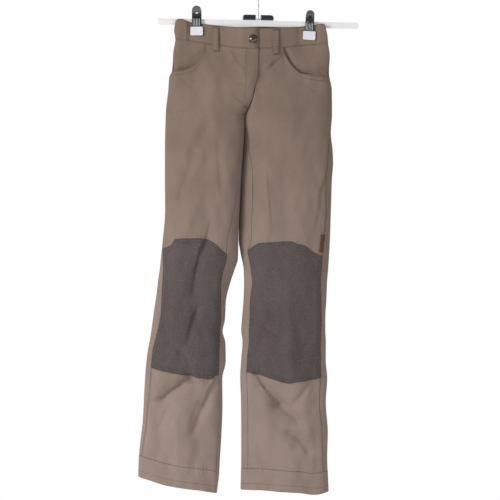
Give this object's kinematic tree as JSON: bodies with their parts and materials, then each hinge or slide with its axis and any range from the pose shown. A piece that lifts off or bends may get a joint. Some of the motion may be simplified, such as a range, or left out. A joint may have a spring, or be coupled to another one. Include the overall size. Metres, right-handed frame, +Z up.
{
  "type": "hiking trousers on a clip hanger",
  "caption": "Light brown hiking trousers with dark grey knee patches, hung by the waistband from the two clips of a flat metal hanger.",
  "frame": {"origin": "inside of the hanger's hook, where it rests on the rail", "axes": "+Z up; -Y is the front of the trousers; +X is towards the wearer's left, along the hanger's bar"},
  "size_m": [0.4289, 0.1025, 1.0215],
  "materials": {
    "cloth": "matt woven, with a fine twill",
    "patch": "matt heather",
    "leather": "smooth, slightly shiny",
    "button": "dark bronze, polished",
    "bar": "satin",
    "dark_steel": "black chrome",
    "wire": "polished",
    "tip": "soft, matt"
  },
  "bodies": {
    "root": {"front_right": "cloth", "front_left": "cloth", "back_right": "cloth", "back_left": "cloth", "pocket_facing_right": "cloth", "pocket_facing_left": "cloth", "waistband_front_right": "cloth", "waistband_front_left": "cloth", "waistband_back": "cloth", "belt_loop_front_right": "cloth", "belt_loop_front_left": "cloth", "belt_loop_back_right": "cloth", "belt_loop_back_left": "cloth", "belt_loop_centre_back": "cloth", "button": "button", "knee_patch_right": "patch", "knee_patch_left": "patch", "hem_right": "cloth", "hem_left": "cloth", "leather_tab": "leather", "hanger_bar": "bar", "hanger_block_right": "dark_steel", "hanger_block_left": "dark_steel", "hanger_hook": "wire", "clip_right_front_plate": "dark_steel", "clip_right_front_tip": "tip", "clip_right_back_plate": "dark_steel", "clip_right_back_tip": "tip", "clip_right_spring": "dark_steel", "clip_left_front_plate": "dark_steel", "clip_left_front_tip": "tip", "clip_left_back_plate": "dark_steel", "clip_left_back_tip": "tip", "clip_left_spring": "dark_steel"}
  },
  "joints": []
}
